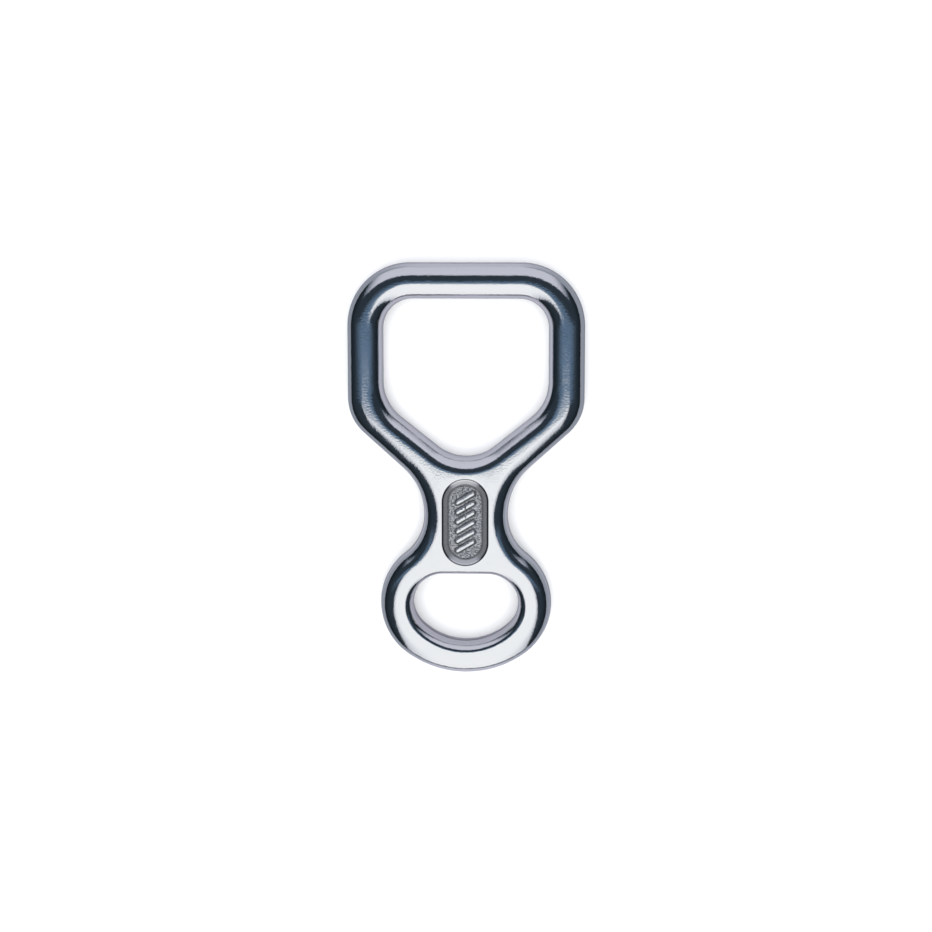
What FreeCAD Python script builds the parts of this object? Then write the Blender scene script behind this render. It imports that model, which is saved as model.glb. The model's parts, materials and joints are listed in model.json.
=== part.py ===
import FreeCAD, Part
import math
import os
import Sketcher
from FreeCAD import Vector
from types import SimpleNamespace

# A one-piece forged aluminium descender: a squared figure eight that a climber
# clips to a harness and threads with a rope, to belay or to abseil. It lies on
# its back: +Z points out of its marked face, +Y runs from the small carabiner
# eye to the large rope ring, and X is across it. The origin is the middle of
# its outline, on the plane that it rests on.

# The driving dimensions, in millimetres, degrees and shares: name, size, meaning.
SIZES = [
    ("overall_length", 118.0, "from the end of the eye to the top of the ring"),
    ("body_thickness", 12.0, "between the two faces"),
    ("ring_width", 67.5, "across the outside of the rope ring"),
    ("bar_width", 10.2, "of the ring's bar, seen from the front"),
    ("opening_length", 45.0, "of the rope opening, from its straight top to its base"),
    ("opening_top_corner", 8.4, "radius of the opening's two top corners"),
    ("opening_low_corner", 13.0, "radius where the opening's sides turn inwards"),
    ("opening_base_radius", 13.0, "of the rounded bottom of the opening"),
    ("opening_slope", 38.6, "degrees from X to the opening's low sides"),
    ("ring_top_corner", 18.0, "radius of the ring's two outer top corners"),
    ("ring_low_corner", 13.5, "radius where the outer sides turn inwards"),
    ("ring_slope", 42.0, "degrees from X to the outer low sides"),
    ("shoulder_radius", 18.3, "of the hollow between the low sides and the waist"),
    ("waist_width", 24.0, "the narrowest width, between ring and eye"),
    ("eye_height", 20.0, "of the eye's hole, along the length"),
    ("eye_flat", 12.7, "length of the straight top of the hole"),
    ("eye_side_share", 0.435, "of the hole's height: the radius of its sides"),
    ("eye_wall", 9.5, "of metal beside the hole"),
    ("eye_end_wall", 9.0, "of metal below the hole"),
    ("ring_round", 4.0, "rounding of the outside and of the rope opening"),
    ("eye_round", 2.3, "rounding of the hole's two rims"),
    ("panel_length_share", 0.745, "of the neck's length: the sunk marking panel's"),
    ("panel_width_share", 0.56, "of the waist's width: the panel's"),
    ("panel_gap_share", 0.085, "of the neck's length: from the hole to the panel"),
    ("panel_wall", 1.9, "how far the panel's sloping wall runs inwards"),
    ("panel_depth", 1.1, "from the face down to the panel's floor"),
    ("panel_rim_round", 0.3, "rounding of the panel's rim"),
    ("strand_count", 6, "raised strands of the rope motif on the floor"),
    ("strand_pitch_share", 0.11, "of the panel's length: from strand to strand"),
    ("strand_reach", 2.2, "half the run of a strand across the panel"),
    ("strand_rise", 1.3, "half its rise along the panel"),
    ("strand_width", 1.3, "of a raised strand"),
    ("strand_height", 0.5, "of a strand above the floor"),
]
NODE = "descender_body"
TOUCH = 1e-4  # lengths closer than this are the same


class Measure:
    """A number together with the formula over the sheet's cells it comes from."""

    def __init__(self, number, formula):
        self.number = number
        self.formula = formula

    def __float__(self):
        return float(self.number)

    def __neg__(self):
        return Measure(-self.number, f"(-{self.formula})")

    def __add__(self, other):
        return Measure(self.number + float(other), f"({self.formula} + {text(other)})")

    def __sub__(self, other):
        return Measure(self.number - float(other), f"({self.formula} - {text(other)})")

    def __mul__(self, other):
        return Measure(self.number * float(other), f"({self.formula} * {text(other)})")

    def __truediv__(self, other):
        return Measure(self.number / float(other), f"({self.formula} / {text(other)})")


def text(thing):
    """The formula of a measure, or a plain number as it is."""
    return thing.formula if isinstance(thing, Measure) else str(thing)


size = SimpleNamespace(**{name: Measure(number, "Sizes." + name) for name, number, _ in SIZES})

# Places along Y that several features share.
TOP = size.overall_length / 2
OPENING_TOP = TOP - size.bar_width
OPENING_BASE = OPENING_TOP - size.opening_length
HOLE_END = size.eye_end_wall - TOP
EYE_RADIUS = size.eye_height * size.eye_side_share
HOLE_TOP = HOLE_END + size.eye_height
EYE_MIDDLE = HOLE_TOP - EYE_RADIUS
NECK_LENGTH = OPENING_BASE - HOLE_TOP
NECK_MIDDLE = (OPENING_BASE + HOLE_TOP) / 2

# The marking panel on the neck, a long hole with round ends.
PANEL_LENGTH = NECK_LENGTH * size.panel_length_share
PANEL_RADIUS = size.waist_width * size.panel_width_share / 2
PANEL_END = HOLE_TOP + NECK_LENGTH * size.panel_gap_share
PANEL_MIDDLE = PANEL_END + PANEL_LENGTH / 2
FLOOR = size.body_thickness - size.panel_depth

START, END, CENTRE = 1, 2, 3  # the sketcher's names for a piece's points
X_AXIS, Y_AXIS, ORIGIN = -1, -2, (-1, 1)


class Outline:
    """A sketch of lines and arcs that are drawn in place, then held there by
    constraints whose sizes are bound to the sheet."""

    def __init__(self, body, name, height=None):
        plane = next(f for f in body.Origin.OriginFeatures if f.Role == "XY_Plane")
        self.sketch = body.newObject("Sketcher::SketchObject", name)
        self.sketch.AttachmentSupport = [(plane, "")]
        self.sketch.MapMode = "FlatFace"
        if height is not None:
            self.sketch.setExpression("AttachmentOffset.Base.z", f"{height.formula} * 1 mm")
        self.pieces = {}

    def line(self, name, start, end, helper=False):
        """A straight line between two points."""
        index = self.sketch.addGeometry(Part.LineSegment(start, end), helper)
        self.pieces[name] = (index, START, END)

    def arc(self, name, centre, start, end, clockwise=False):
        """An arc about centre, from start to end."""
        first, last = (end, start) if clockwise else (start, end)
        angles = [math.atan2(p.y - centre.y, p.x - centre.x) for p in (first, last)]
        if angles[1] <= angles[0]:
            angles[1] += 2 * math.pi
        circle = Part.Circle(centre, Vector(0, 0, 1), (start - centre).Length)
        index = self.sketch.addGeometry(Part.ArcOfCircle(circle, *angles), False)
        self.pieces[name] = (index, END, START) if clockwise else (index, START, END)

    def rule(self, kind, *where):
        """Adds a constraint and returns its number."""
        return self.sketch.addConstraint(Sketcher.Constraint(kind, *where))

    def bind(self, index, measure, unit="mm"):
        """Ties a constraint's size to the sheet."""
        self.sketch.setExpression(f"Constraints[{index}]", f"{measure.formula} * 1 {unit}")

    def tangent(self, *names):
        """Each piece runs smoothly into the next."""
        for first, second in zip(names, names[1:]):
            a, b = self.pieces[first], self.pieces[second]
            self.rule("Tangent", a[0], a[2], b[0], b[1])

    def corner(self, *names):
        """Each piece ends where the next starts."""
        for first, second in zip(names, names[1:]):
            a, b = self.pieces[first], self.pieces[second]
            self.rule("Coincident", a[0], a[2], b[0], b[1])

    def equal(self, first, second):
        """Two arcs have the same radius."""
        self.rule("Equal", self.pieces[first][0], self.pieces[second][0])

    def level(self, name):
        """A line runs along X."""
        self.rule("Horizontal", self.pieces[name][0])

    def upright(self, *names):
        """These lines run along Y."""
        for name in names:
            self.rule("Vertical", self.pieces[name][0])

    def centred(self, name, point):
        """A point of the piece lies on the Y axis."""
        self.rule("PointOnObject", self.pieces[name][0], point, Y_AXIS)

    def radius(self, name, measure):
        """The radius of an arc."""
        index = self.pieces[name][0]
        self.bind(self.rule("Radius", index, self.sketch.Geometry[index].Radius), measure)

    def place(self, name, point, x=None, y=None):
        """How far a point of the piece stands from the sketch's origin."""
        here = (self.pieces[name][0], point)
        for kind, way in (("DistanceX", x), ("DistanceY", y)):
            if way is not None and float(way) > 0:
                self.bind(self.rule(kind, *ORIGIN, *here, float(way)), way)
            elif way is not None:
                self.bind(self.rule(kind, *here, *ORIGIN, -float(way)), -way)

    def slope(self, name, measure):
        """The angle from the X axis to a line that falls from its start."""
        index = self.pieces[name][0]
        turn = math.radians(float(measure))
        self.bind(self.rule("Angle", X_AXIS, START, index, END, turn), measure, "deg")


def polar(centre, radius, degrees):
    """The point at this angle on a circle."""
    turn = math.radians(degrees)
    return centre + Vector(radius * math.cos(turn), radius * math.sin(turn))


def end_circle(centre, radius, end_y):
    """The circle about a point of the Y axis that passes the axis at end_y and
    holds the given circle inside it, touching it: centre, radius and touch."""
    depth = centre.y - end_y
    outer = (centre.x**2 + depth**2 - radius**2) / (2 * (depth - radius))
    middle = Vector(0, end_y + outer)
    return middle, middle + (centre - middle) * (outer / (outer - radius))


def waist_circle(eye, eye_radius):
    """The circle that hollows the neck and touches the eye from outside:
    its centre and touch."""
    narrow, middle = float(size.waist_width) / 2, float(NECK_MIDDLE)
    lead, rise = narrow - eye.x, middle - eye.y
    radius = (lead**2 + rise**2 - eye_radius**2) / (2 * (eye_radius - lead))
    waist = Vector(narrow + radius, middle)
    return waist, eye + (waist - eye) * (eye_radius / (eye_radius + radius))


def low_corner(leave, slope, side, radius):
    """Where the arc between an upright side and a low side starts and ends,
    when the low side leaves a point at its slope in degrees."""
    along = polar(Vector(), 1, slope)
    shoulder = leave + along * ((side - leave.x) / along.x)
    trim = radius * math.tan(math.radians(90 - slope) / 2)
    return shoulder + Vector(0, trim), shoulder - along * trim


def draw_squared_top(outline, top, side, corner, low, ends):
    """The straight top, its corner, the side and the corner below it, which
    the outside and the rope opening have alike."""
    bend = Vector(float(side) - float(corner), float(top) - float(corner))
    outline.line("top", Vector(0, top), Vector(bend.x, top))
    outline.arc("top_corner", bend, Vector(bend.x, top), Vector(side, bend.y), clockwise=True)
    outline.line("side", Vector(side, bend.y), ends[0])
    outline.arc("low_corner", ends[0] - Vector(low, 0), *ends, clockwise=True)


def hold_squared_top(outline, top, side, corner, low, slope):
    """The rules for what draw_squared_top draws, and the low side after it."""
    outline.level("top")
    outline.upright("side", "middle")
    outline.centred("middle", START)
    outline.place("middle", END, y=top)
    outline.place("side", START, x=side)
    outline.radius("top_corner", corner)
    outline.radius("low_corner", low)
    outline.slope("low_side", slope)


def draw_outside(body):
    """The right half of the outside, from the ring's top to the eye's end."""
    top, side = TOP, size.ring_width / 2
    corner, low, slope = size.ring_top_corner, size.ring_low_corner, size.ring_slope
    eye_radius = EYE_RADIUS + size.eye_wall
    eye = Vector(size.eye_flat / 2, EYE_MIDDLE)
    end, join = end_circle(eye, float(eye_radius), -float(top))
    waist, meet = waist_circle(eye, float(eye_radius))
    narrow, level = size.waist_width / 2, NECK_MIDDLE
    narrowest, hollow = Vector(narrow, level), float(size.shoulder_radius)
    shoulder = narrowest + Vector(hollow, 0)
    leave = polar(shoulder, hollow, 90 + float(slope))
    ends = low_corner(leave, float(slope), float(side), float(low))

    outline = Outline(body, "OutsideHalf")
    draw_squared_top(outline, top, side, corner, low, ends)
    outline.line("low_side", ends[1], leave)
    outline.arc("shoulder", shoulder, leave, narrowest)
    outline.arc("waist", waist, narrowest, meet)
    outline.arc("eye_side", eye, meet, join, clockwise=True)
    outline.arc("eye_end", end, join, Vector(0, -top), clockwise=True)
    outline.line("middle", Vector(0, -top), Vector(0, top))
    outline.tangent("top", "top_corner", "side", "low_corner", "low_side", "shoulder")
    outline.tangent("shoulder", "waist", "eye_side", "eye_end")
    outline.corner("eye_end", "middle", "top")
    hold_squared_top(outline, top, side, corner, low, slope)
    outline.place("middle", START, y=-top)
    outline.centred("eye_end", CENTRE)
    outline.place("shoulder", CENTRE, y=level)
    outline.place("shoulder", END, x=narrow, y=level)
    outline.radius("shoulder", size.shoulder_radius)
    outline.place("eye_side", CENTRE, x=size.eye_flat / 2, y=EYE_MIDDLE)
    outline.radius("eye_side", eye_radius)
    return outline.sketch


def draw_opening(body):
    """The right half of the rope opening, a square with a pointed bottom."""
    top, side = OPENING_TOP, size.ring_width / 2 - size.bar_width
    corner, low, slope = size.opening_top_corner, size.opening_low_corner, size.opening_slope
    radius = float(size.opening_base_radius)
    base = Vector(0, float(OPENING_BASE) + radius)
    leave = polar(base, radius, float(slope) - 90)
    ends = low_corner(leave, float(slope), float(side), float(low))

    outline = Outline(body, "RopeOpeningHalf")
    draw_squared_top(outline, top, side, corner, low, ends)
    outline.line("low_side", ends[1], leave)
    outline.arc("base", base, leave, Vector(0, OPENING_BASE), clockwise=True)
    outline.line("middle", Vector(0, OPENING_BASE), Vector(0, top))
    outline.tangent("top", "top_corner", "side", "low_corner", "low_side", "base")
    outline.corner("base", "middle", "top")
    hold_squared_top(outline, top, side, corner, low, slope)
    outline.place("middle", START, y=OPENING_BASE)
    outline.centred("base", CENTRE)
    outline.radius("base", size.opening_base_radius)
    return outline.sketch


def draw_eye(body):
    """The right half of the carabiner's hole: a straight top, an oval below."""
    side = Vector(size.eye_flat / 2, EYE_MIDDLE)
    base, join = end_circle(side, float(EYE_RADIUS), float(HOLE_END))

    outline = Outline(body, "EyeHoleHalf")
    outline.line("top", Vector(0, HOLE_TOP), Vector(side.x, HOLE_TOP))
    outline.arc("side", side, Vector(side.x, HOLE_TOP), join, clockwise=True)
    outline.arc("base", base, join, Vector(0, HOLE_END), clockwise=True)
    outline.line("middle", Vector(0, HOLE_END), Vector(0, HOLE_TOP))
    outline.tangent("top", "side", "base")
    outline.corner("base", "middle", "top")
    outline.level("top")
    outline.upright("middle")
    outline.centred("middle", START)
    outline.centred("base", CENTRE)
    outline.place("middle", END, y=HOLE_TOP)
    outline.place("middle", START, y=HOLE_END)
    outline.place("side", CENTRE, x=size.eye_flat / 2)
    outline.radius("side", EYE_RADIUS)
    return outline.sketch


def draw_panel(body, name, height, radius):
    """The marking panel's outline at some height: its rim or its floor."""
    low_y, high_y = PANEL_END + PANEL_RADIUS, PANEL_END + PANEL_LENGTH - PANEL_RADIUS
    low, high, right = Vector(0, low_y), Vector(0, high_y), Vector(radius, 0)

    outline = Outline(body, name, height)
    outline.line("right_side", low + right, high + right)
    outline.arc("high_end", high, high + right, high - right)
    outline.line("left_side", high - right, low - right)
    outline.arc("low_end", low, low - right, low + right)
    outline.tangent("right_side", "high_end", "left_side", "low_end", "right_side")
    outline.equal("high_end", "low_end")
    outline.centred("high_end", CENTRE)
    outline.centred("low_end", CENTRE)
    outline.place("high_end", CENTRE, y=high_y)
    outline.place("low_end", CENTRE, y=low_y)
    outline.radius("high_end", radius)
    return outline.sketch


def draw_strand(body):
    """The motif's strand nearest the eye: a leaning bar with round ends."""
    reach, rise = size.strand_reach, size.strand_rise
    middle = PANEL_MIDDLE - strand_pitch() * (size.strand_count - 1) / 2
    low, high = Vector(-reach, middle - rise), Vector(reach, middle + rise)
    half = float(size.strand_width) / 2
    away = Vector(-rise, reach) * (half / math.hypot(reach, rise))

    outline = Outline(body, "Strand", FLOOR)
    outline.line("high_side", high + away, low + away)
    outline.arc("low_end", low, low + away, low - away)
    outline.line("low_side", low - away, high - away)
    outline.arc("high_end", high, high - away, high + away)
    outline.tangent("high_side", "low_end", "low_side", "high_end", "high_side")
    outline.equal("high_end", "low_end")
    outline.place("high_end", CENTRE, x=reach, y=middle + rise)
    outline.place("low_end", CENTRE, x=-reach, y=middle - rise)
    outline.radius("low_end", size.strand_width / 2)
    return outline.sketch


def strand_pitch():
    """From one strand of the motif to the next, along Y."""
    return PANEL_LENGTH * size.strand_pitch_share


def extrude(body, kind, name, sketch, length):
    """A Pad or a Pocket that goes up from its sketch by a length."""
    feature = body.newObject(f"PartDesign::{kind}", name)
    feature.Profile = sketch
    feature.Reversed = kind == "Pocket"
    feature.setExpression("Length", f"{length.formula} * 1 mm")
    return feature


def add_rounding(body, name, base, wanted, radius):
    """A fillet of those edges of the base that pass a test."""
    edges = [f"Edge{n}" for n, edge in enumerate(base.Shape.Edges, 1) if wanted(edge.BoundBox)]
    rounding = body.newObject("PartDesign::Fillet", name)
    rounding.Base = (base, edges)
    rounding.setExpression("Radius", f"{radius.formula} * 1 mm")
    finish(body, rounding)
    return rounding


def finish(body, feature):
    """Makes a feature the body's result so far."""
    body.Tip = feature
    body.Document.recompute()


def add_halves(body):
    """The blank with its two openings: half is drawn, the rest is mirrored."""
    blank = extrude(body, "Pad", "Blank", draw_outside(body), size.body_thickness)
    opening = extrude(body, "Pocket", "RopeOpening", draw_opening(body), size.body_thickness)
    hole = extrude(body, "Pocket", "EyeHole", draw_eye(body), size.body_thickness)
    body.Document.recompute()
    if not hole.Shape.Volume < opening.Shape.Volume < blank.Shape.Volume:
        raise RuntimeError("an opening takes no metal away")
    halves = body.newObject("PartDesign::Mirrored", "BothHalves")
    halves.Originals = [blank, opening, hole]
    halves.MirrorPlane = (blank.Profile[0], ["V_Axis"])
    finish(body, halves)
    return halves


def add_roundings(body, halves):
    """Rounds the outside and the rope opening fully, the eye's hole less."""
    hole_half = float(size.eye_flat) / 2 + float(EYE_RADIUS)

    def on_a_face(box):
        at_back, at_front = abs(box.ZMax), abs(box.ZMin - float(size.body_thickness))
        return box.ZLength < TOUCH and min(at_back, at_front) < TOUCH

    def round_the_hole(box):
        across = max(abs(box.XMin), abs(box.XMax)) < hole_half + TOUCH
        along = float(HOLE_END) - TOUCH < box.YMin and box.YMax < float(HOLE_TOP) + TOUCH
        return on_a_face(box) and across and along

    def elsewhere(box):
        return on_a_face(box) and not round_the_hole(box)

    ring = add_rounding(body, "RingRounding", halves, elsewhere, size.ring_round)
    add_rounding(body, "EyeRounding", ring, round_the_hole, size.eye_round)


def add_panel(body):
    """The sunk marking panel on the neck, with sloping walls."""
    panel = body.newObject("PartDesign::SubtractiveLoft", "MarkingPanel")
    panel.Profile = draw_panel(body, "PanelRim", size.body_thickness, PANEL_RADIUS)
    panel.Sections = [draw_panel(body, "PanelFloor", FLOOR, PANEL_RADIUS - size.panel_wall)]
    panel.Ruled = True
    finish(body, panel)
    low, high = float(PANEL_END), float(PANEL_END + PANEL_LENGTH)

    def round_the_panel(box):
        across = max(abs(box.XMin), abs(box.XMax)) < float(PANEL_RADIUS) + TOUCH
        along = low - TOUCH < box.YMin and box.YMax < high + TOUCH
        return box.ZMin > float(size.body_thickness) - TOUCH and across and along

    add_rounding(body, "PanelRimRounding", panel, round_the_panel, size.panel_rim_round)


def add_motif(body):
    """A row of raised strands on the panel's floor, like the lay of a rope."""
    strand = extrude(body, "Pad", "RaisedStrand", draw_strand(body), size.strand_height)
    body.Document.recompute()
    motif = body.newObject("PartDesign::LinearPattern", "RopeMotif")
    motif.Originals = [strand]
    motif.Direction = (strand.Profile[0], ["V_Axis"])
    motif.setExpression("Length", f"{(strand_pitch() * (size.strand_count - 1)).formula} * 1 mm")
    motif.setExpression("Occurrences", size.strand_count.formula)
    finish(body, motif)


def make_descender(document):
    """The whole descender, one solid piece of forged aluminium."""
    body = document.addObject("PartDesign::Body", "Descender")
    body.Label = NODE
    halves = add_halves(body)
    add_roundings(body, halves)
    add_panel(body)
    add_motif(body)
    return body


def fill_sheet(document):
    """The spreadsheet that every feature's sizes are bound to."""
    sheet = document.addObject("Spreadsheet::Sheet", "Sizes")
    for row, (name, number, meaning) in enumerate(SIZES, 1):
        sheet.set(f"A{row}", name)
        sheet.set(f"B{row}", str(number))
        sheet.set(f"C{row}", meaning)
        sheet.setAlias(f"B{row}", name)
    document.recompute()


def check(document, body):
    """Stops the build if a feature failed, a sketch is loose or the body is
    not one sound solid."""
    for thing in document.Objects:
        if "Invalid" in thing.State or "Error" in thing.State:
            raise RuntimeError(f"{thing.Label} failed: {thing.State}")
        if thing.TypeId == "Sketcher::SketchObject" and not thing.FullyConstrained:
            raise RuntimeError(f"{thing.Label} is not fully constrained")
    shape = body.Shape
    if shape.isNull() or not shape.isValid() or len(shape.Solids) != 1:
        raise RuntimeError(f"{body.Label} is not one valid solid")


def main():
    document = FreeCAD.newDocument("descender")
    fill_sheet(document)
    body = make_descender(document)
    document.recompute()
    check(document, body)
    os.makedirs("parts", exist_ok=True)
    body.Shape.exportStep(f"parts/{body.Label}.step")


main()
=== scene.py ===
"""A squared figure eight descender, one polished aluminium forging, in a plain studio.

Everything is in metres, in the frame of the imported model: the descender lies on its back,
+Z out of its marked face and +Y from the small carabiner eye to the large rope ring.
"""

import json
import logging
import math
from collections.abc import Iterator
from contextlib import contextmanager
from dataclasses import dataclass, field
from enum import Enum

import bpy
import numpy as np
from mathutils import Matrix, Vector, noise

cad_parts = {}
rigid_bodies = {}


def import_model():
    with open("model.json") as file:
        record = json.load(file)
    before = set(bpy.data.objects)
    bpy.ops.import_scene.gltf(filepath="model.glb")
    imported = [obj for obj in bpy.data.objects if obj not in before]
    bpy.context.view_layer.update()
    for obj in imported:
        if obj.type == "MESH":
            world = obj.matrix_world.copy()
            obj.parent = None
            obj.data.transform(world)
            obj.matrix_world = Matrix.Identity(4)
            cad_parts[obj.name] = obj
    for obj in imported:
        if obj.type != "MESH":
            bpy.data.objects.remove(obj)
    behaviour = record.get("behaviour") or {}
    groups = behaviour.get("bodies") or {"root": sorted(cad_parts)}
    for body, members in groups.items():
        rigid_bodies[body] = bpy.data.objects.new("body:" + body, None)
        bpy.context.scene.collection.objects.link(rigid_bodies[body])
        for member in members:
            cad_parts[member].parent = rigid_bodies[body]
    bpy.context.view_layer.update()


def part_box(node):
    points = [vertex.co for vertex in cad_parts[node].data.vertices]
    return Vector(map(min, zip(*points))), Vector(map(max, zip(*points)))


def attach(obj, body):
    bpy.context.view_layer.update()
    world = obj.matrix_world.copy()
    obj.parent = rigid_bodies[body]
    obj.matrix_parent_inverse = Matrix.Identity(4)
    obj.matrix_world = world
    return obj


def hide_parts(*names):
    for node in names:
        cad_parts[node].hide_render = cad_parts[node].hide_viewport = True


MM = 0.001
NODE = "descender_body"
SAME_PLACE = 0.001 * MM  # points closer than this are one
POINTS_AT_ONCE = 1000  # keeps the tables of distances small
Colour = tuple[float, float, float, float]
Pair = tuple[float, float]
Socket = bpy.types.NodeSocket
Feed = Socket | Colour | float
log = logging.getLogger("descender")


class Axis(Enum):
    """The way in which a shape is mirrored."""

    ACROSS = "X"
    THROUGH = "Z"


class Fade(Enum):
    """How a value goes from one end of a range to the other."""

    EVEN = "LINEAR"
    SMOOTH = "SMOOTHSTEP"


class Sum(Enum):
    """What is worked out from one or two shader values."""

    SUBTRACT = "SUBTRACT"
    ABSOLUTE = "ABSOLUTE"


def polar(centre: Vector, radius: float, degrees: float) -> Vector:
    """Finds a point on a circle in the XY plane.

    Args:
        centre: The circle's middle.
        radius: Its radius.
        degrees: The angle from +X, anticlockwise.

    Returns:
        The point.
    """
    turn = math.radians(degrees)
    return centre + Vector((radius * math.cos(turn), radius * math.sin(turn), 0))


def arc_turn(centre: Vector, start: Vector, end: Vector, clockwise: bool) -> float:
    """Measures how far an arc turns.

    Args:
        centre: The arc's centre.
        start: Where it starts.
        end: Where it ends.
        clockwise: Which way it goes.

    Returns:
        Its angle in degrees, negative if it goes clockwise.
    """
    a = math.atan2(start.y - centre.y, start.x - centre.x)
    b = math.atan2(end.y - centre.y, end.x - centre.x)
    turn = math.degrees(b - a) % 360
    return turn - 360 if clockwise else turn


def distance_to_edges(points: np.ndarray, edges: np.ndarray) -> np.ndarray:
    """Measures how far points in the XY plane stand from the nearest of some edges.

    Args:
        points: One row of x and y per point.
        edges: Two points per edge.

    Returns:
        One distance per point.
    """
    start, along = edges[:, 0], edges[:, 1] - edges[:, 0]
    length2 = (along**2).sum(axis=1)
    nearest = np.empty(len(points))
    for first in range(0, len(points), POINTS_AT_ONCE):
        some = slice(first, first + POINTS_AT_ONCE)
        away = points[some, None] - start
        share = np.clip((away * along).sum(axis=2) / length2, 0, 1)
        gap = away - share[..., None] * along
        nearest[some] = np.sqrt((gap**2).sum(axis=2).min(axis=1))
    return nearest


class Pen:
    """Draws chains of edges in edit mode, by extruding and spinning one vertex."""

    FEWEST_BEND_STEPS = 6

    def __init__(self, spacing: float) -> None:
        """Sets how far apart the vertices stand on straights and bends."""
        self.spacing = spacing
        self.path: list[Vector] = []

    def start(self, point: Vector) -> None:
        """Puts down a single vertex: a small plane, merged at its middle.

        Args:
            point: Where the chain starts.
        """
        bpy.ops.mesh.select_all(action="DESELECT")
        bpy.ops.mesh.primitive_plane_add(size=MM, location=point)
        bpy.ops.mesh.merge(type="CENTER")
        self.path = [point.copy()]

    def line_to(self, point: Vector) -> None:
        """Extrudes a straight run of edges.

        Args:
            point: Where it ends.
        """
        run = point - self.path[-1]
        steps = max(1, round(run.length / self.spacing))
        for _ in range(steps):
            bpy.ops.mesh.extrude_region_move(TRANSFORM_OT_translate={"value": run / steps})
            self.path.append(self.path[-1] + run / steps)

    def bend(self, centre: Vector, end: Vector, clockwise: bool = False) -> None:
        """Spins a round run of edges.

        Args:
            centre: What it turns about.
            end: Where it ends.
            clockwise: Which way it turns.
        """
        angle = math.radians(arc_turn(centre, self.path[-1], end, clockwise))
        wanted = round(abs(angle) * (end - centre).length / self.spacing)
        steps = max(self.FEWEST_BEND_STEPS, wanted)
        bpy.ops.mesh.spin(steps=steps, angle=-angle, center=centre, axis=(0, 0, 1))
        step = Matrix.Rotation(angle / steps, 3, "Z")
        for _ in range(steps):
            self.path.append(centre + step @ (self.path[-1] - centre))

    def close(self) -> None:
        """Joins the chain's ends and fills it with one face."""
        bpy.ops.mesh.select_linked()
        bpy.ops.mesh.remove_doubles(threshold=self.spacing / 100)
        bpy.ops.mesh.edge_face_add()

    def edges_both_sides(self) -> np.ndarray:
        """Lists the drawn edges and their mirror images across the Y axis.

        Returns:
            Two points of x and y per edge.
        """
        points = np.array([point[:2] for point in self.path])
        edges = np.stack([points[:-1], points[1:]], axis=1)
        return np.concatenate([edges, edges * (-1, 1)])


# Points of the parting ridge: inset and height, as shares of the whole ridge's.
RIDGE_POINTS = ((0.06, 0.5), (0.4, 0.82), (1.0, 1.0))


@dataclass
class Section:
    """How the metal's edge is shaped, from the parting line at mid-thickness to the crest.

    A trimmed and tumbled parting ridge stands proud of a wall with a little draft, and a
    rounding takes the wall over into the flat of the face.
    """

    half_thickness: float
    rounding_in: float
    rounding_up: float
    ridge: float = 0.16 * MM
    ridge_half_height: float = 0.55 * MM
    draft: float = 0.10 * MM
    fullness: float = 2.05

    @property
    def wall(self) -> float:
        """How far in from the outline the rounding starts."""
        return self.ridge + self.draft

    def insets(self, steps: int) -> list[float]:
        """Lists the insets from the outline that follow the section well.

        Args:
            steps: How many steps the rounding gets.

        Returns:
            Rising insets, from the ridge's side to the crest.
        """
        ridge = [self.ridge * share for share, _ in RIDGE_POINTS]
        wall = [self.ridge + self.draft * share for share in (0.5, 1.0)]
        turns = [math.pi / 2 * step / steps for step in range(1, steps + 1)]
        power = 2 / self.fullness
        round_off = [self.wall + self.rounding_in * (1 - abs(math.cos(t)) ** power) for t in turns]
        return ridge + wall + round_off

    def way_down(self, steps: int) -> list[tuple[float, float]]:
        """Lists the insets and drops from the crest to the parting line."""
        line = np.array(self.insets(steps)[::-1] + [0.0])
        return list(zip(-np.diff(line), -np.diff(self.height(line))))

    def height(self, inset: np.ndarray) -> np.ndarray:
        """Finds the surface's height over mid-thickness.

        Args:
            inset: Distances in from the outline.

        Returns:
            The heights, up to half_thickness on the crest.
        """
        wall_top = self.half_thickness - self.rounding_up
        places = [0, *(self.ridge * share for share, _ in RIDGE_POINTS), self.wall]
        heights = [0, *(self.ridge_half_height * top for _, top in RIDGE_POINTS), wall_top]
        low = np.interp(inset, places, heights)
        left = np.clip(1 - (inset - self.wall) / self.rounding_in, 0, 1)
        swell = (1 - left**self.fullness) ** (1 / self.fullness)
        return np.where(inset <= self.wall, low, wall_top + self.rounding_up * swell)


@dataclass(frozen=True)
class ResidueShadeBand:
    """A band of darkening along a line, partly dark residue and partly painted shade: strongest on
    it, gone at its reach.
    """

    reach: float
    place: float
    strength: float = 1.0

    def over(self, distance: np.ndarray) -> np.ndarray:
        """Finds how dark the band is at distances measured the way its place is."""
        return self.strength * (1 - abs(distance - self.place) / self.reach)


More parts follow.
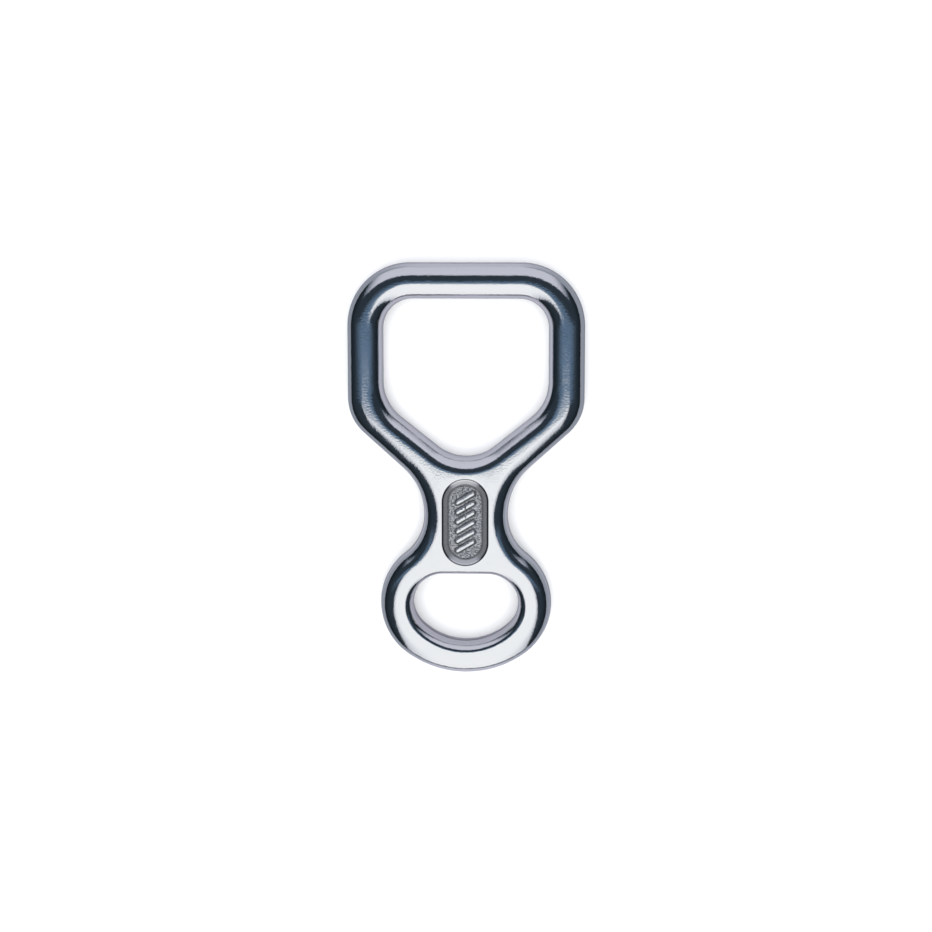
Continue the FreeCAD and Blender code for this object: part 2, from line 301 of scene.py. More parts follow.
@dataclass
class MarkingPanel:
    """The sunk panel on the neck: a long hole with round ends, sloping walls and a
    stippled floor that carries a row of raised, leaning strands like the lay of a rope."""

    low_centre: Vector
    high_centre: Vector
    radius: float
    face: float
    wall: float = 1.9 * MM
    depth: float = 1.1 * MM
    rim_round: float = 0.45 * MM
    floor_step: float = 0.13 * MM
    grain: float = 0.34 * MM
    grain_depth: float = 0.14 * MM
    strand_count: int = 6
    strand_pitch: float = 2.77 * MM
    strand_reach: float = 2.2 * MM
    strand_rise: float = 1.3 * MM
    strand_width: float = 1.3 * MM
    strand_height: float = 0.5 * MM
    rim_steps: int = 5
    slope_steps: int = 10
    floor_start: float = 0.94
    floor_fade: float = 0.2 * MM
    finer_grain: float = 2.3
    strand_polish: float = 0.85
    # Bands of dark residue and painted shade: round the rim, at the wall's foot, beside the
    # strands, and in the pits.
    rim_residue_shade: ResidueShadeBand = ResidueShadeBand(0.32 * MM, 0.15 * MM)
    foot_residue_shade: ResidueShadeBand = ResidueShadeBand(0.45 * MM, 0.0, 0.85)
    strand_residue_shade: ResidueShadeBand = ResidueShadeBand(0.525, 1.25, 1.05)
    pit_residue_shade: float = 2.2

    def draw(self) -> None:
        """Draws the rim on the open face in edit mode and sinks the panel into it."""
        right = Vector((self.radius, 0, 0))
        pen = Pen(self.floor_step)
        pen.start(self.low_centre + right)
        pen.line_to(self.high_centre + right)
        pen.bend(self.high_centre, self.high_centre - right)
        pen.line_to(self.low_centre - right)
        pen.bend(self.low_centre, self.low_centre + right)
        pen.close()
        sink_face(self.wall_steps())
        rings = int((self.radius - self.wall) / self.floor_step) - 1
        sink_face([(self.floor_step, 0)] * rings)
        bpy.ops.mesh.quads_convert_to_tris(ngon_method="BEAUTY")

    def wall_steps(self) -> list[tuple[float, float]]:
        """Shapes the way from the rim, rounded, down the slope and onto the floor.

        Returns:
            How far in and how far down each step goes.
        """
        slope = math.atan2(self.depth, self.wall)
        turns = [slope * step / self.rim_steps for step in range(1, self.rim_steps + 1)]
        rim = [(self.rim_round * math.sin(t), self.rim_round * (1 - math.cos(t))) for t in turns]
        foot = [(self.wall - x, self.depth - y) for x, y in rim[::-1]]
        run, fall = foot[0][0] - rim[-1][0], foot[0][1] - rim[-1][1]
        shares = [step / self.slope_steps for step in range(1, self.slope_steps)]
        middle = [(rim[-1][0] + run * share, rim[-1][1] + fall * share) for share in shares]
        line = rim + middle + foot + [(self.wall, self.depth)]
        return [(b[0] - a[0], b[1] - a[1]) for a, b in zip([(0, 0)] + line, line)]

    def inset_of(self, points: np.ndarray) -> np.ndarray:
        """Measures how far inside the rim points in the XY plane are."""
        spine = np.array([[self.low_centre[:2], self.high_centre[:2]]])
        return self.radius - distance_to_edges(points, spine)

    def strand_offset(self, points: np.ndarray) -> np.ndarray:
        """Measures how far points are from the nearest strand's line.

        Args:
            points: One row of x and y per point.

        Returns:
            The distances, in halves of a strand's width.
        """
        middle = (self.low_centre.y + self.high_centre.y) / 2
        lines = []
        for number in range(self.strand_count):
            y = middle + (number - (self.strand_count - 1) / 2) * self.strand_pitch
            low = (-self.strand_reach, y - self.strand_rise)
            lines.append([low, (self.strand_reach, y + self.strand_rise)])
        return distance_to_edges(points, np.array(lines)) / (self.strand_width / 2)

    def texture(self, mesh: bpy.types.Mesh) -> None:
        """Raises the strands, stipples the floor and stores how the finish and the painted shade
        vary.

        The attribute "recess" says where the surface is as forged and blasted, and the other
        attribute where the colour is darkened, partly by dark polishing residue and partly as
        painted shade: round the rim, in corners and in pits.

        Args:
            mesh: The forging's mesh, with the panel already sunk.
        """
        places = np.empty(len(mesh.vertices) * 3)
        mesh.vertices.foreach_get("co", places)
        places = places.reshape(-1, 3)
        inset = self.inset_of(places[:, :2])
        front = (places[:, 2] > self.face - 1.5 * self.depth) & (inset > 10 * SAME_PLACE)
        floor = np.clip((inset - self.wall * self.floor_start) / self.floor_fade, 0, 1) * front
        away = self.strand_offset(places[:, :2])
        rise = (1 - np.clip(away, 0, 1) ** 4) ** 0.5 * floor
        grain = np.zeros(len(places))
        for index in np.flatnonzero(floor > 0):
            spot = Vector(places[index]) / self.grain
            grain[index] = noise.noise(spot) + 0.5 * noise.noise(spot * self.finer_grain)
        grain *= floor * (1 - self.strand_polish * np.clip(rise * 3, 0, 1))
        places[:, 2] += rise * self.strand_height + grain * self.grain_depth
        mesh.vertices.foreach_set("co", places.ravel())
        # Painted shade, partly dark polishing residue: the rim, the wall's foot, the strands' sides
        # and the pits are darkened.
        rim, foot = self.rim_residue_shade.over(inset), self.foot_residue_shade.over(inset - self.wall)
        beside = self.strand_residue_shade.over(away) * floor
        residue_shades = np.max([rim, foot, beside, -self.pit_residue_shade * grain], axis=0)
        residue_shade = np.clip(residue_shades, 0, 1) * front
        recess = np.clip(inset / self.wall, 0, 1) * front * (1 - rise**3)
        for name, values in (("recess", recess), ("residue_shade", residue_shade)):
            mesh.attributes.new(name, "FLOAT", "POINT").data.foreach_set("value", values)
        mesh.update()


@dataclass
class Forging:
    """The one-piece body: rope ring, neck with the marking panel, and carabiner eye."""

    length: float
    width: float
    thickness: float
    bar: float = 10.2 * MM
    opening_length: float = 45.0 * MM
    opening_top_corner: float = 8.4 * MM
    opening_low_corner: float = 13.0 * MM
    opening_base_radius: float = 13.0 * MM
    opening_slope: float = 38.6
    ring_top_corner: float = 18.0 * MM
    ring_low_corner: float = 13.5 * MM
    ring_slope: float = 42.0
    shoulder_radius: float = 18.3 * MM
    waist: float = 24.0 * MM
    eye_flat: float = 12.7 * MM
    eye_height: float = 20.0 * MM
    eye_side_radius: float = 8.7 * MM
    eye_wall: float = 9.5 * MM
    eye_end_wall: float = 9.0 * MM
    panel_length: float = 25.175 * MM
    panel_width: float = 13.44 * MM
    panel_gap: float = 2.87 * MM
    ring_rounding: Pair = (4.6 * MM, 3.8 * MM)
    eye_rounding: Pair = (2.45 * MM, 2.5 * MM)
    outline_spacing: float = 0.7 * MM
    rounding_steps: int = 18

    @property
    def top(self) -> float:
        """The Y of the ring's top; the eye's end is as far the other way."""
        return self.length / 2

    @property
    def opening_base(self) -> float:
        """The Y of the rope opening's lowest point."""
        return self.top - self.bar - self.opening_length

    @property
    def hole_end(self) -> float:
        """The Y of the eye hole's lowest point."""
        return self.eye_end_wall - self.top

    @property
    def hole_top(self) -> float:
        """The Y of the eye hole's straight top."""
        return self.hole_end + self.eye_height

    @property
    def eye_centre(self) -> Vector:
        """The centre of the eye's right side, shared by its hole and its outside."""
        return Vector((self.eye_flat / 2, self.hole_top - self.eye_side_radius, 0))

    @property
    def sections(self) -> tuple[Section, Section]:
        """The full section of the ring and outside, and the tighter one of the eye's hole."""
        half = self.thickness / 2
        return Section(half, *self.ring_rounding), Section(half, *self.eye_rounding)

    def end_circle(self, centre: Vector, radius: float, end_y: float) -> tuple[Vector, Vector]:
        """Fits the arc that closes an oval at its end.

        Args:
            centre: The centre of the oval's side arc.
            radius: The side arc's radius.
            end_y: Where the arc crosses the Y axis.

        Returns:
            Its centre on the Y axis, and where it takes over from the side arc.
        """
        depth = centre.y - end_y
        outer = (centre.x**2 + depth**2 - radius**2) / (2 * (depth - radius))
        middle = Vector((0, end_y + outer, 0))
        return middle, middle + (centre - middle) * (outer / (outer - radius))

    def low_corner(
        self, leave: Vector, slope: float, side: float, radius: float
    ) -> tuple[Vector, Vector]:
        """Fits the bend between an upright side and a sloping low side.

        Args:
            leave: A point of the low side.
            slope: Its angle from X in degrees.
            side: The X of the upright side.
            radius: The bend's radius.

        Returns:
            Where the bend starts and ends, from the top down.
        """
        along = polar(Vector(), 1, slope)
        shoulder = leave + along * ((side - leave.x) / along.x)
        trim = radius * math.tan(math.radians(90 - slope) / 2)
        return shoulder + Vector((0, trim, 0)), shoulder - along * trim

    def draw_squared_top(self, pen: Pen, top: float, side: float, corner: float) -> None:
        """Draws the straight top and its corner, from the Y axis to the upright side.

        Args:
            pen: What draws.
            top: The Y of the top.
            side: The X of the upright side.
            corner: The corner's radius.
        """
        bend = Vector((side - corner, top - corner, 0))
        pen.start(Vector((0, top, 0)))
        pen.line_to(Vector((bend.x, top, 0)))
        pen.bend(bend, Vector((side, bend.y, 0)), clockwise=True)

    def draw_low_side(
        self, pen: Pen, ends: tuple[Vector, Vector], radius: float, leave: Vector
    ) -> None:
        """Draws the side, the bend below it and the low side.

        Args:
            pen: What draws.
            ends: Where the bend starts and ends.
            radius: The bend's radius.
            leave: Where the low side ends.
        """
        pen.line_to(ends[0])
        pen.bend(ends[0] - Vector((radius, 0, 0)), ends[1], clockwise=True)
        pen.line_to(leave)

    def draw_outside(self, pen: Pen) -> None:
        """Draws the right half of the outside, from the ring's top to the eye's end.

        Args:
            pen: What draws.
        """
        side, middle_y = self.width / 2, (self.opening_base + self.hole_top) / 2
        eye, eye_radius = self.eye_centre, self.eye_side_radius + self.eye_wall
        lead, rise = self.waist / 2 - eye.x, middle_y - eye.y
        waist_radius = (lead**2 + rise**2 - eye_radius**2) / (2 * (eye_radius - lead))
        waist = Vector((self.waist / 2 + waist_radius, middle_y, 0))
        meet = eye + (waist - eye) * (eye_radius / (eye_radius + waist_radius))
        narrow = Vector((self.waist / 2, middle_y, 0))
        shoulder = narrow + Vector((self.shoulder_radius, 0, 0))
        leave = polar(shoulder, self.shoulder_radius, 90 + self.ring_slope)
        ends = self.low_corner(leave, self.ring_slope, side, self.ring_low_corner)
        end, join = self.end_circle(eye, eye_radius, -self.top)
        self.draw_squared_top(pen, self.top, side, self.ring_top_corner)
        self.draw_low_side(pen, ends, self.ring_low_corner, leave)
        pen.bend(shoulder, narrow)
        pen.bend(waist, meet)
        pen.bend(eye, join, clockwise=True)
        pen.bend(end, Vector((0, -self.top, 0)), clockwise=True)

    def draw_opening(self, pen: Pen) -> None:
        """Draws the right half of the rope opening, a square with a pointed bottom.

        Args:
            pen: What draws.
        """
        side, top = self.width / 2 - self.bar, self.top - self.bar
        base = Vector((0, self.opening_base + self.opening_base_radius, 0))
        leave = polar(base, self.opening_base_radius, self.opening_slope - 90)
        ends = self.low_corner(leave, self.opening_slope, side, self.opening_low_corner)
        self.draw_squared_top(pen, top, side, self.opening_top_corner)
        self.draw_low_side(pen, ends, self.opening_low_corner, leave)
        pen.bend(base, Vector((0, self.opening_base, 0)), clockwise=True)

    def draw_hole(self, section: Section) -> None:
        """Draws the crest of the eye's hole, an oval with a straight top, and sinks it.

        Args:
            section: How the metal is shaped from the crest to mid-thickness.
        """
        grown = section.wall + section.rounding_in
        eye, radius, up = self.eye_centre, self.eye_side_radius + grown, section.half_thickness
        base, join = self.end_circle(eye, radius, self.hole_end - grown)
        flip = Matrix.Scale(-1, 3, Vector((1, 0, 0)))
        corner = Vector((eye.x, self.hole_top + grown, up))
        pen = Pen(self.outline_spacing)
        pen.start(flip @ corner)
        pen.line_to(corner)
        pen.bend(eye, join, clockwise=True)
        pen.bend(base, flip @ join, clockwise=True)
        pen.bend(flip @ eye, flip @ corner, clockwise=True)
        pen.close()
        sink_face(section.way_down(self.rounding_steps))
        bpy.ops.mesh.delete(type="FACE")

    def build(self) -> bpy.types.Object:
        """Models the forging, half of it first, then mirrored across and through.

        Returns:
            The finished object, at the origin, with its place in its mesh.
        """
        obj = new_object(NODE + "_forged")
        ring, eye = self.sections
        pen = Pen(self.outline_spacing)
        edges = []
        with editing():
            for draw in (self.draw_outside, self.draw_opening):
                draw(pen)
                edges.append(pen.edges_both_sides())
        apply_mirror(obj, Axis.ACROSS)
        with editing():
            self.inset_faces(ring)
        self.raise_faces(obj.data, ring, np.concatenate(edges))
        with editing():
            self.draw_hole(eye)
        apply_mirror(obj, Axis.THROUGH)
        with editing():
            bpy.ops.mesh.select_all(action="SELECT")
            bpy.ops.transform.translate(value=(0, 0, self.thickness / 2))
        fill_open_edges(obj, 0)
        panel = self.panel()
        with editing():
            panel.draw()
        fill_open_edges(obj, self.thickness)
        with editing():
            bpy.ops.mesh.select_all(action="SELECT")
            bpy.ops.mesh.normals_make_consistent(inside=False)
            bpy.ops.mesh.select_all(action="DESELECT")
        panel.texture(obj.data)
        bpy.ops.object.shade_smooth()
        return obj

    def inset_faces(self, section: Section) -> None:
        """Fills the outlines, insets the region from them and takes out its middle.

        Args:
            section: The section that the insets follow.
        """
        bpy.ops.mesh.select_all(action="SELECT")
        bpy.ops.mesh.fill(use_beauty=True)
        bpy.ops.mesh.select_all(action="SELECT")
        last = 0.0
        for inset in section.insets(self.rounding_steps):
            bpy.ops.mesh.inset(thickness=inset - last, use_even_offset=True, use_boundary=True)
            last = inset
        bpy.ops.mesh.delete(type="FACE")

    def raise_faces(self, mesh: bpy.types.Mesh, section: Section, edges: np.ndarray) -> None:
        """Lifts the inset faces to a section.

        Args:
            mesh: The inset faces, flat at mid-thickness.
            section: The section that gives the heights.
            edges: The outlines' edges, two points each.
        """
        places = np.array([vertex.co[:] for vertex in mesh.vertices])
        inset = distance_to_edges(places[:, :2], edges)
        places[:, 2] = section.height(np.where(inset < SAME_PLACE, 0, inset))
        mesh.vertices.foreach_set("co", places.ravel())
        mesh.update()

    def panel(self) -> MarkingPanel:
        """Places the marking panel on the neck.

        Returns:
            The panel, ready to be drawn.
        """
        radius = self.panel_width / 2
        low_y = self.hole_top + self.panel_gap + radius
        high_y = low_y + self.panel_length - 2 * radius
        low, high = Vector((0, low_y, self.thickness)), Vector((0, high_y, self.thickness))
        return MarkingPanel(low, high, radius, self.thickness)


@contextmanager
def editing() -> Iterator[None]:
    """Goes into edit mode for the block, and back to object mode after it."""
    bpy.ops.object.mode_set(mode="EDIT")
    yield
    bpy.ops.object.mode_set(mode="OBJECT")


def new_object(name: str) -> bpy.types.Object:
    """Adds an object with an empty mesh, ready to be drawn in.

    Args:
        name: The object's name.

    Returns:
        The object, active and alone in the selection.
    """
    bpy.ops.object.select_all(action="DESELECT")
    bpy.ops.mesh.primitive_plane_add(size=MM)
    obj = bpy.context.active_object
    obj.name = obj.data.name = name
    with editing():
        bpy.ops.mesh.select_all(action="SELECT")
        bpy.ops.mesh.delete(type="VERT")
    return obj


def apply_mirror(obj: bpy.types.Object, axis: Axis) -> None:
    """Mirrors an object across its origin, merges the seam and applies the modifier.

    Args:
        obj: The object.
        axis: The way to mirror it.
    """
    mirror = obj.modifiers.new("Other half", "MIRROR")
    mirror.use_axis = [letter == axis.value for letter in "XYZ"]
    mirror.merge_threshold = SAME_PLACE
    bpy.ops.object.modifier_apply(modifier=mirror.name)


def sink_face(steps: list[tuple[float, float]]) -> None:
    """Insets and sinks the selected face again and again, in edit mode.

    Args:
        steps: How far in and how far down each step goes.
    """
    for inset, drop in steps:
        bpy.ops.mesh.inset(thickness=inset, use_even_offset=True)
        bpy.ops.transform.translate(value=(0, 0, -drop))


def fill_open_edges(obj: bpy.types.Object, height: float) -> None:
    """Fills the open loops of edges at one height with a flat face region.

    Args:
        obj: The object, active, in object mode.
        height: The loops' Z.
    """
    with editing():
        bpy.ops.mesh.select_mode(type="EDGE")
        bpy.ops.mesh.select_all(action="DESELECT")
        bpy.ops.mesh.select_non_manifold(
            use_wire=False, use_multi_face=False, use_non_contiguous=False, use_verts=False
        )
    points = obj.data.vertices
    for edge in obj.data.edges:
        if edge.select:
            edge.select = all(abs(points[v].co.z - height) < 10 * SAME_PLACE for v in edge.vertices)
    with editing():
        bpy.ops.mesh.fill(use_beauty=True)
        bpy.ops.mesh.select_mode(type="VERT")


class NodeKit:
    """Adds and links the shader nodes of one material, light or world."""

    def __init__(self, tree: bpy.types.NodeTree) -> None:
        """Keeps the tree that the nodes go into."""
        self.tree = tree

    def add(self, kind: str, links: dict, **settings: str) -> bpy.types.Node:
        """Adds a node.

        Args:
            kind: The node's type.
            links: What goes into its sockets, by name or number: a socket or a value.
            settings: Its own properties.

        Returns:
            The node.
        """
        node = self.tree.nodes.new(kind)
        for name, value in settings.items():
            setattr(node, name, value)
        for socket, value in links.items():
            self.feed(node.inputs[socket], value)
        return node

    def feed(self, socket: Socket, value: Feed) -> None:
        """Links a socket to another, or sets its value.

        Args:
            socket: The socket that is fed.
            value: The socket that feeds it, or its value.
        """
        if isinstance(value, bpy.types.NodeSocket):
            self.tree.links.new(value, socket)
        else:
            socket.default_value = value

    def coordinate(self, name: str) -> Socket:
        """Gives the place that is shaded, in one of Blender's own frames."""
        return self.add("ShaderNodeTexCoord", {}).outputs[name]

    def part_of(self, place: Socket, axis: str) -> Socket:
        """Gives one axis of a place."""
        return self.add("ShaderNodeSeparateXYZ", {0: place}).outputs[axis]

    def ray(self, kind: str) -> Socket:
        """Tells whether the ray that sees the surface is of this kind."""
        return self.add("ShaderNodeLightPath", {}).outputs[kind]

    def attribute(self, name: str) -> Socket:
        """Gives a value that the mesh carries."""
        return self.add("ShaderNodeAttribute", {}, attribute_name=name).outputs["Fac"]

    def noise(self, where: Socket, scale: float, detail: float) -> Socket:
        """Gives a noise of so many features to the metre."""
        settings = {"Vector": where, "Scale": scale, "Detail": detail}
        return self.add("ShaderNodeTexNoise", settings).outputs["Fac"]

    def work_out(self, wanted: Sum, first: Feed, second: Feed = 0.0) -> Socket:
        """Gives the result of a sum on one or two values."""
        return self.add("ShaderNodeMath", {0: first, 1: second}, operation=wanted.value).outputs[0]

    def span(self, value: Socket, source: Pair, target: Pair, fade: Fade = Fade.EVEN) -> Socket:
        """Maps a value from one range to another, clamped.

        Args:
            value: The value.
            source: The range that it has.
            target: The range that it gets.
            fade: How it goes from one end to the other.

        Returns:
            The mapped value.
        """
        ends = {"Value": value, 1: source[0], 2: source[1], 3: target[0], 4: target[1]}
        node = self.add("ShaderNodeMapRange", ends, interpolation_type=fade.value)
        return node.outputs["Result"]

    def mix(self, share: Feed, low: Feed, high: Feed) -> Socket:
        """Mixes two colours.

        Args:
            share: How much of the second there is.
            low: The first colour.
            high: The second colour.

        Returns:
            The mixed colour.
        """
        node = self.add("ShaderNodeMix", {"Factor": share}, data_type="RGBA")
        for socket, value in zip([s for s in node.inputs if s.type == "RGBA"], (low, high)):
            self.feed(socket, value)
        return next(socket for socket in node.outputs if socket.type == "RGBA")

    def bump(self, height: Socket, depth: float, onto: Socket | None = None) -> Socket:
        """Turns a height into a bump.

        Args:
            height: The height, from 0 to 1.
            depth: What a height of 1 stands for, in metres.
            onto: The normal of another bump that this one lies on, if there is one.

        Returns:
            The bumped normal.
        """
        feeds = {"Height": height, "Distance": depth, "Strength": 1.0}
        if onto is not None:
            feeds["Normal"] = onto
        return self.add("ShaderNodeBump", feeds).outputs["Normal"]


def new_material(name: str) -> tuple[bpy.types.Material, NodeKit, dict[str, Socket]]:
    """Starts a material.

    Args:
        name: The material's name.
    """
    material = bpy.data.materials.new(name)
    material.use_nodes = True
    kit = NodeKit(material.node_tree)
    return material, kit, kit.tree.nodes["Principled BSDF"].inputs


@dataclass(frozen=True)
class PolishedAluminium:
    """Bare aluminium, tumbled and polished: a bright skin with the slight waviness and
    orange peel of a forging, a parting line painted dark, partly as a duller trimmed line and
    partly as painted shade, and a darker stippled recess with residue and painted shade in it."""

    colour: Colour = (0.86, 0.868, 0.885, 1)
    recess_colour: Colour = (0.47, 0.48, 0.50, 1)
    # Dark residue and painted shade, laid on where the mesh attribute says.
    residue_shade_colour: Colour = (0.03, 0.034, 0.04, 1)
    recess_edge: Pair = (0.22, 0.42)
    # Painted shade: a dark band along the parting line, partly a duller trimmed line.
    parting_shade_colour: Colour = (0.22, 0.235, 0.26, 1)
    parting_height: float = 6.0 * MM
    parting_edge: Pair = (0.28 * MM, 0.62 * MM)
    roughness: Pair = (0.07, 0.13)
    roughness_scale: float = 350
    roughness_detail: float = 4
    roughness_edge: Pair = (0.3, 0.7)
    recess_roughness: float = 0.22
    recess_metal: float = 0.75
    peel_scale: float = 2000
    peel_detail: float = 2
    peel_depth: float = 0.023 * MM
    wave_scale: float = 130
    wave_detail: float = 1
    wave_depth: float = 0.03 * MM

    def make(self) -> bpy.types.Material:
        """Makes the material, which reads the attribute "recess" and the attribute of residue and
        painted shade.

        Returns:
            The material.
        """
        material, kit, shader = new_material("polished_aluminium")
        where = kit.coordinate("Object")
        deep = kit.span(kit.attribute("recess"), self.recess_edge, (0.0, 1.0))
        kit.feed(shader["Base Color"], self.tint(kit, where, deep))
        kit.feed(shader["Metallic"], kit.span(deep, (0, 1), (1.0, self.recess_metal)))
        cloud = kit.noise(where, self.roughness_scale, self.roughness_detail)
        sheen = kit.span(cloud, self.roughness_edge, self.roughness)
        rough = kit.add("ShaderNodeMix", {"Factor": deep, 2: sheen, 3: self.recess_roughness})
        kit.feed(shader["Roughness"], rough.outputs[0])
        wave = kit.noise(where, self.wave_scale, self.wave_detail)
        peel = kit.noise(where, self.peel_scale, self.peel_detail)
        forged = kit.bump(wave, self.wave_depth)
        kit.feed(shader["Normal"], kit.bump(peel, self.peel_depth, forged))
        return material

    def tint(self, kit: NodeKit, where: Socket, deep: Socket) -> Socket:
        """Colours the skin, its parting line with a painted dark band, the recess, and the residue
        and painted shade in it.

        Args:
            kit: The material's nodes.
            where: The place on the object.
            deep: How far a place belongs to the recess.

        Returns:
            The colour.
        """
        height = kit.work_out(Sum.SUBTRACT, kit.part_of(where, "Z"), self.parting_height)
        # Painted shade along the parting line, standing in for the shaded table mirrored at the
        # edge; partly a duller trimmed line.
        parting_shade = kit.span(kit.work_out(Sum.ABSOLUTE, height), self.parting_edge, (1.0, 0.0))
        skin = kit.mix(parting_shade, self.colour, self.parting_shade_colour)
        bare = kit.mix(deep, skin, self.recess_colour)
        # Darkens the colour by the attribute of residue and painted shade.
        return kit.mix(kit.attribute("residue_shade"), bare, self.residue_shade_colour)


@dataclass(frozen=True)
class PaleFloor:
    """A plain, matt, nearly white table top; in what the metal reflects it is painted a darker
    grey, darker still towards the sides, as a painted reflection.
    """

    seen: Colour = (0.93, 0.93, 0.93, 1)
    painted_reflection_middle: Colour = (0.34, 0.34, 0.385, 1)
    painted_reflection_sides: Colour = (0.19, 0.205, 0.235, 1)
    sides: Pair = (14 * MM, 38 * MM)
    roughness: float = 0.9

    def make(self) -> bpy.types.Material:
        """Makes the material.

        Returns:
            The material.
        """
        material, kit, shader = new_material("pale_floor")
        across = kit.work_out(Sum.ABSOLUTE, kit.part_of(kit.coordinate("Object"), "X"))
        side = kit.span(across, self.sides, (0.0, 1.0))
        mirrored = kit.mix(side, self.painted_reflection_middle, self.painted_reflection_sides)
        # Painted reflection: glossy rays see a darker grey table, graded darker to the sides.
        colour = kit.mix(kit.ray("Is Glossy Ray"), self.seen, mirrored)
        kit.feed(shader["Base Color"], colour)
        kit.feed(shader["Roughness"], self.roughness)
        kit.feed(shader["Specular IOR Level"], 0.0)
        return material


@dataclass
class Card:
    """A rectangular area light that the metal mirrors, graded across from its middle to
    its sides. The grade starts and ends at shares of the way."""

    name: str
    centre: Vector
    facing: Vector
    size: Pair
    colour: Colour
    side_colour: Colour
    grade: Pair = (0.9, 1.0)
    mirrored: bool = True

    def hang(self) -> None:
        """Hangs the light in its place, unseen by the camera itself."""
        data = bpy.data.lights.new(self.name, "AREA")
        data.shape = "RECTANGLE"
        data.size, data.size_y = self.size
        data.energy = math.pi * self.size[0] * self.size[1]
        data.use_nodes = True
        self.grade_colour(NodeKit(data.node_tree))
        light = bpy.data.objects.new(self.name, data)
        light.location = self.centre
        light.rotation_euler = self.facing.to_track_quat("-Z", "Y").to_euler()
        light.visible_camera = False
        light.visible_glossy = self.mirrored
        bpy.context.scene.collection.objects.link(light)
        log.info("%s: a card of %.2f by %.2f m", self.name, *self.size)

    def grade_colour(self, kit: NodeKit) -> None:
        """Mixes the two colours by the place on the card.

        Args:
            kit: The light's nodes.
        """
        spot = kit.add("ShaderNodeNewGeometry", {}).outputs["Parametric"]
        across = kit.span(kit.part_of(spot, "X"), (0.0, 1.0), (-1.0, 1.0))
        off = kit.work_out(Sum.ABSOLUTE, across)
        share = kit.span(off, self.grade, (0.0, 1.0), Fade.SMOOTH)
        glow = kit.mix(share, self.colour, self.side_colour)
        kit.feed(kit.tree.nodes["Emission"].inputs["Color"], glow)


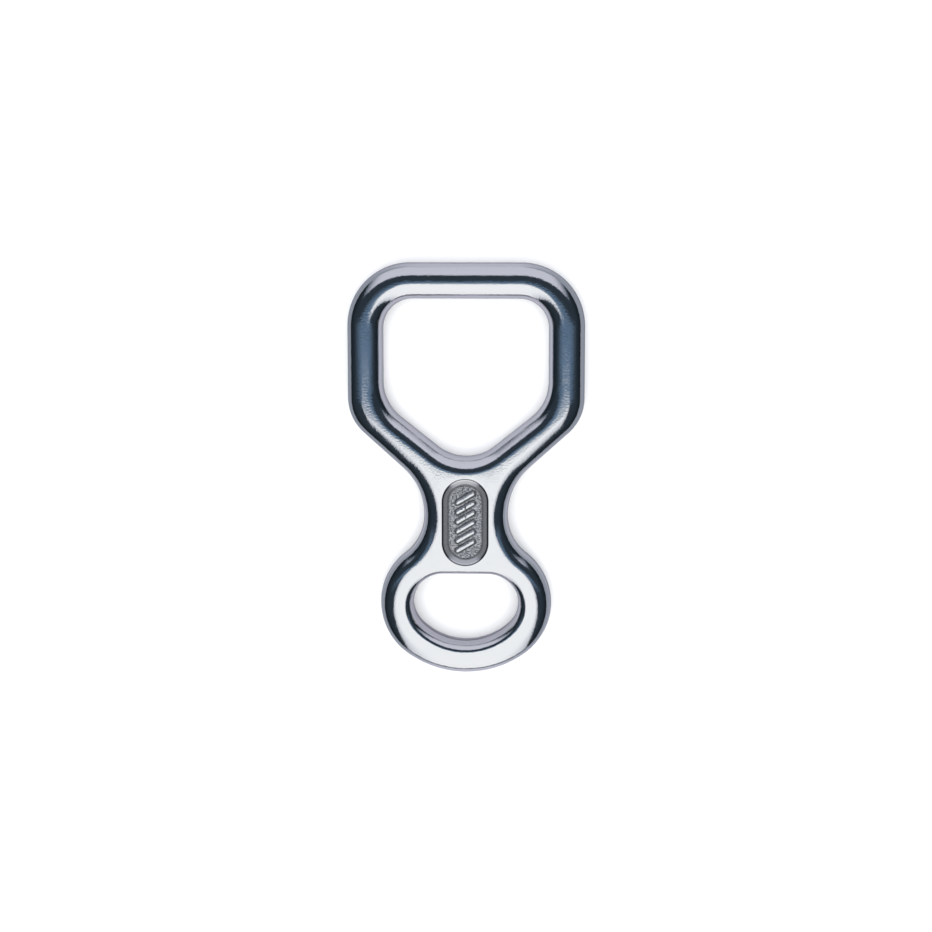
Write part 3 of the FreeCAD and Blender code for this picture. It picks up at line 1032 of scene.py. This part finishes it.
@dataclass
class Studio:
    """The table, the lights, the dim room and the camera."""

    table: float = 3.0
    backdrop: Colour = (0.95, 0.95, 0.95, 1)
    room_low: Colour = (0.006, 0.009, 0.012, 1)
    room_high: Colour = (0.024, 0.034, 0.046, 1)
    room_high_at: float = 0.7
    film_width: float = 36
    camera_place: Vector = field(default_factory=lambda: Vector((0.026, 0.083, 0.6)))
    camera_aim: Vector = field(default_factory=lambda: Vector((0, 0.0009, 0.006)))
    view_width: float = 266.9248 * MM

    def build(self) -> None:
        """Sets everything up round the origin."""
        bpy.ops.object.select_all(action="DESELECT")
        bpy.ops.mesh.primitive_plane_add(size=self.table, location=(0, 0, 0))
        floor = bpy.context.active_object
        floor.name = "floor"
        floor.data.materials.append(PaleFloor().make())
        log.info("floor: %.1f m square", self.table)
        for card in self.cards():
            card.hang()
        self.surround()
        self.camera()

    def cards(self) -> list[Card]:
        """Lists what the metal mirrors, and the light that only the table gets.

        Returns:
            The cards, in metres from the origin.
        """
        down = Vector((0, 0, -1))
        softbox = Card(
            "softbox",
            centre=Vector((0, -0.1425, 0.265)),
            facing=Vector((0, 0.47, -0.195)),
            size=(0.27, 0.509),
            colour=(0.94, 0.945, 0.945, 1),
            side_colour=(0.60, 0.61, 0.66, 1),
            grade=(0.35, 1.0),
        )
        slate = Card(
            "slate",
            centre=Vector((0, -0.010, 0.5)),
            facing=down,
            size=(1.2, 0.07),
            colour=(0.088, 0.145, 0.225, 1),
            side_colour=(0.020, 0.028, 0.038, 1),
            grade=(0.15, 0.85),
        )
        far_screen = Card(
            "far_screen",
            centre=Vector((0, 0.425, 0.25)),
            facing=Vector((0, -0.5, -0.25)),
            size=(1.1, 0.56),
            colour=(0.57, 0.57, 0.64, 1),
            side_colour=(0.10, 0.12, 0.15, 1),
            grade=(0.5, 1.0),
        )
        ceiling = Card(
            "ceiling",
            centre=Vector((0, 0, 1.4)),
            facing=down,
            size=(2.0, 2.0),
            colour=(3.2, 3.2, 3.2, 1),
            side_colour=(3.2, 3.2, 3.2, 1),
            mirrored=False,
        )
        return [softbox, slate, far_screen, ceiling]

    def surround(self) -> None:
        """Makes the dim room that the metal reflects, pale where the camera sees it."""
        world = bpy.data.worlds.new("studio")
        world.use_nodes = True
        kit = NodeKit(world.node_tree)
        room = kit.tree.nodes["Background"]
        upward = kit.part_of(kit.coordinate("Generated"), "Z")
        shade = kit.add("ShaderNodeValToRGB", {0: upward})
        low, high = shade.color_ramp.elements
        low.color, high.color = self.room_low, self.room_high
        high.position = self.room_high_at
        kit.feed(room.inputs["Color"], shade.outputs[0])
        backdrop = kit.add("ShaderNodeBackground", {"Color": self.backdrop})
        links = {0: kit.ray("Is Camera Ray"), 1: room.outputs[0], 2: backdrop.outputs[0]}
        seen = kit.add("ShaderNodeMixShader", links)
        kit.feed(kit.tree.nodes["World Output"].inputs["Surface"], seen.outputs[0])
        bpy.context.scene.world = world

    def camera(self) -> None:
        """Puts the camera nearly overhead, a little to the ring's side of the object."""
        data = bpy.data.cameras.new("camera")
        data.sensor_width = self.film_width
        reach = (self.camera_place - self.camera_aim).length
        data.lens = self.film_width * reach / self.view_width
        camera = bpy.data.objects.new("camera", data)
        camera.location = self.camera_place
        camera.rotation_euler = camera_turn(self.camera_place, self.camera_aim).to_euler()
        bpy.context.scene.collection.objects.link(camera)
        bpy.context.scene.camera = camera


def camera_turn(place: Vector, aim: Vector) -> Matrix:
    """Turns a camera to look at a point with +Y upright in its view.

    Args:
        place: Where the camera is.
        aim: What it looks at.

    Returns:
        Its rotation.
    """
    back = (place - aim).normalized()
    up = (Vector((0, 1, 0)) - back * back.y).normalized()
    side = up.cross(back)
    return Matrix((side, up, back)).transposed()


def main() -> None:
    """Builds the forging and its studio, in order."""
    logging.basicConfig(level=logging.INFO, format="%(message)s")
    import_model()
    low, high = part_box(NODE)
    bpy.context.scene.view_settings.view_transform = "Standard"
    forging = Forging(high.y - low.y, high.x - low.x, high.z - low.z).build()
    forging.data.materials.append(PolishedAluminium().make())
    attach(forging, "root")
    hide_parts(NODE)
    log.info("%s: %d faces", forging.name, len(forging.data.polygons))
    Studio().build()


if __name__ == "__main__":
    main()
